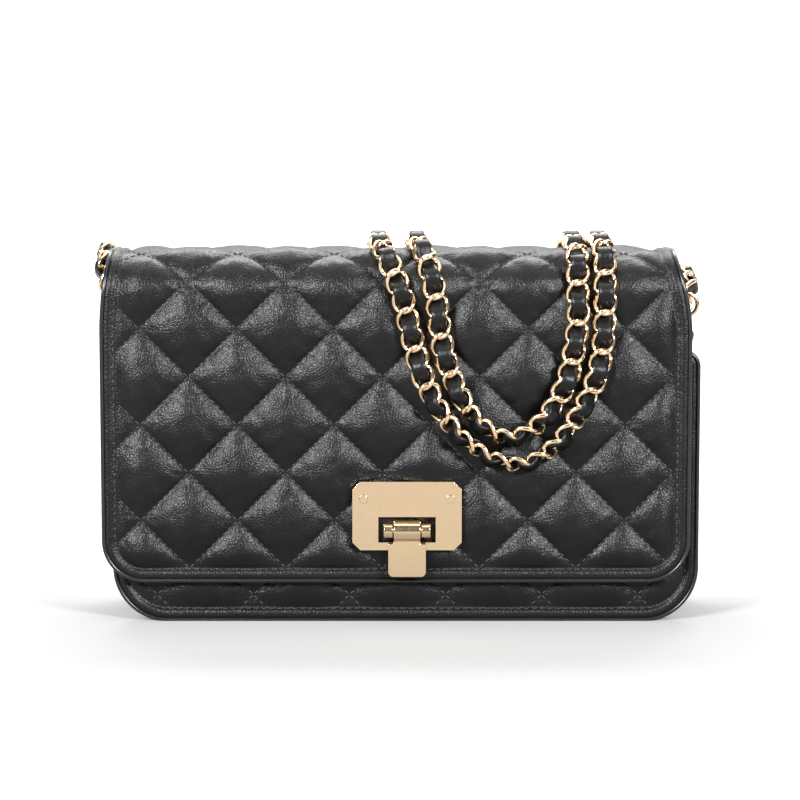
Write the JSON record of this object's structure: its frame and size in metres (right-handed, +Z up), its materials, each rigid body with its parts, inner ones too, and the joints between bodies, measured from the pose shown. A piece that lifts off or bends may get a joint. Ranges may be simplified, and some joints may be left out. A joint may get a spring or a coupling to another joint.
{
  "type": "crossbody purse",
  "caption": "Small quilted box purse with a fold-over flap, a flip-tab metal lock, a zip pocket inside and a woven chain strap laid over it.",
  "frame": {"origin": "centre of the base, on the surface that the purse stands on", "axes": "+X to the right across the front, +Z up, the front with the lock faces -Y"},
  "size_m": [0.2401, 0.0823, 0.149],
  "materials": {
    "quilted_leather": "fine-grained semi-gloss black",
    "gusset_leather": "fine-grained semi-gloss black",
    "strap_leather": "smooth black",
    "gold_metal": "polished light champagne gold",
    "steel_snap": "satin light gold",
    "lining_cloth": "woven matte black",
    "board": "plain fibre board",
    "zip_tape": "woven matte black"
  },
  "bodies": {
    "bag": {"back_panel": "quilted_leather", "front_panel": "quilted_leather", "back_stiffener": "board", "front_stiffener": "board", "gusset": "gusset_leather", "bottom_board": "board", "main_lining": "lining_cloth", "slip_pocket": "lining_cloth", "zip_pouch": "lining_cloth", "zip_tape": "zip_tape", "zip_teeth": "gold_metal", "chape_left": "gusset_leather", "chape_right": "gusset_leather", "chape_rivets": "gold_metal", "snap_socket": "steel_snap", "strap_end_left": "gold_metal", "strap_back_left": "gold_metal", "strap_back_loop": "gold_metal", "strap_back_right": "gold_metal", "strap_end_right": "gold_metal"},
    "flap": {"flap_outer": "quilted_leather", "flap_board": "board", "flap_lining": "lining_cloth", "lock_front_plate": "gold_metal", "lock_back_plate": "gold_metal", "lock_screws": "gold_metal", "lock_pin": "gold_metal", "snap_stud": "steel_snap", "strap_bends": "gold_metal", "strap_front_outer": "gold_metal", "strap_front_inner": "gold_metal"},
    "lock_tab": {"lock_tab": "gold_metal"},
    "d_ring_left": {"d_ring_left": "gold_metal", "jump_ring_left": "gold_metal"},
    "d_ring_right": {"d_ring_right": "gold_metal", "jump_ring_right": "gold_metal"},
    "zip_slider": {"zip_slider": "gold_metal"},
    "zip_pull": {"zip_pull": "gold_metal"}
  },
  "joints": [
    {"name": "flap_hinge", "type": "hinge", "parent": "bag", "child": "flap", "pos_m": [0, 0.0275, 0.125], "axis": [-1, 0, 0], "range_deg": [0, 105], "deforming": ["strap_bends"]},
    {"name": "lock_tab_hinge", "type": "hinge", "parent": "flap", "child": "lock_tab", "pos_m": [0.0005, -0.0357, 0.0367], "axis": [-1, 0, 0], "range_deg": [0, 95]},
    {"name": "d_ring_left_hinge", "type": "hinge", "parent": "bag", "child": "d_ring_left", "pos_m": [-0.11055, 0, 0.11], "axis": [0, -1, 0], "range_deg": [0, 45], "deforming": ["strap_end_left"]},
    {"name": "d_ring_right_hinge", "type": "hinge", "parent": "bag", "child": "d_ring_right", "pos_m": [0.11055, 0, 0.11], "axis": [0, 1, 0], "range_deg": [0, 45], "deforming": ["strap_end_right"]},
    {"name": "zip_slide", "type": "slide", "parent": "bag", "child": "zip_slider", "axis": [-1, 0, 0], "range_m": [0, 0.124]},
    {"name": "zip_pull_hinge", "type": "hinge", "parent": "zip_slider", "child": "zip_pull", "pos_m": [0.062, 0.0161, 0.096], "axis": [-1, 0, 0], "range_deg": [0, 80]}
  ]
}
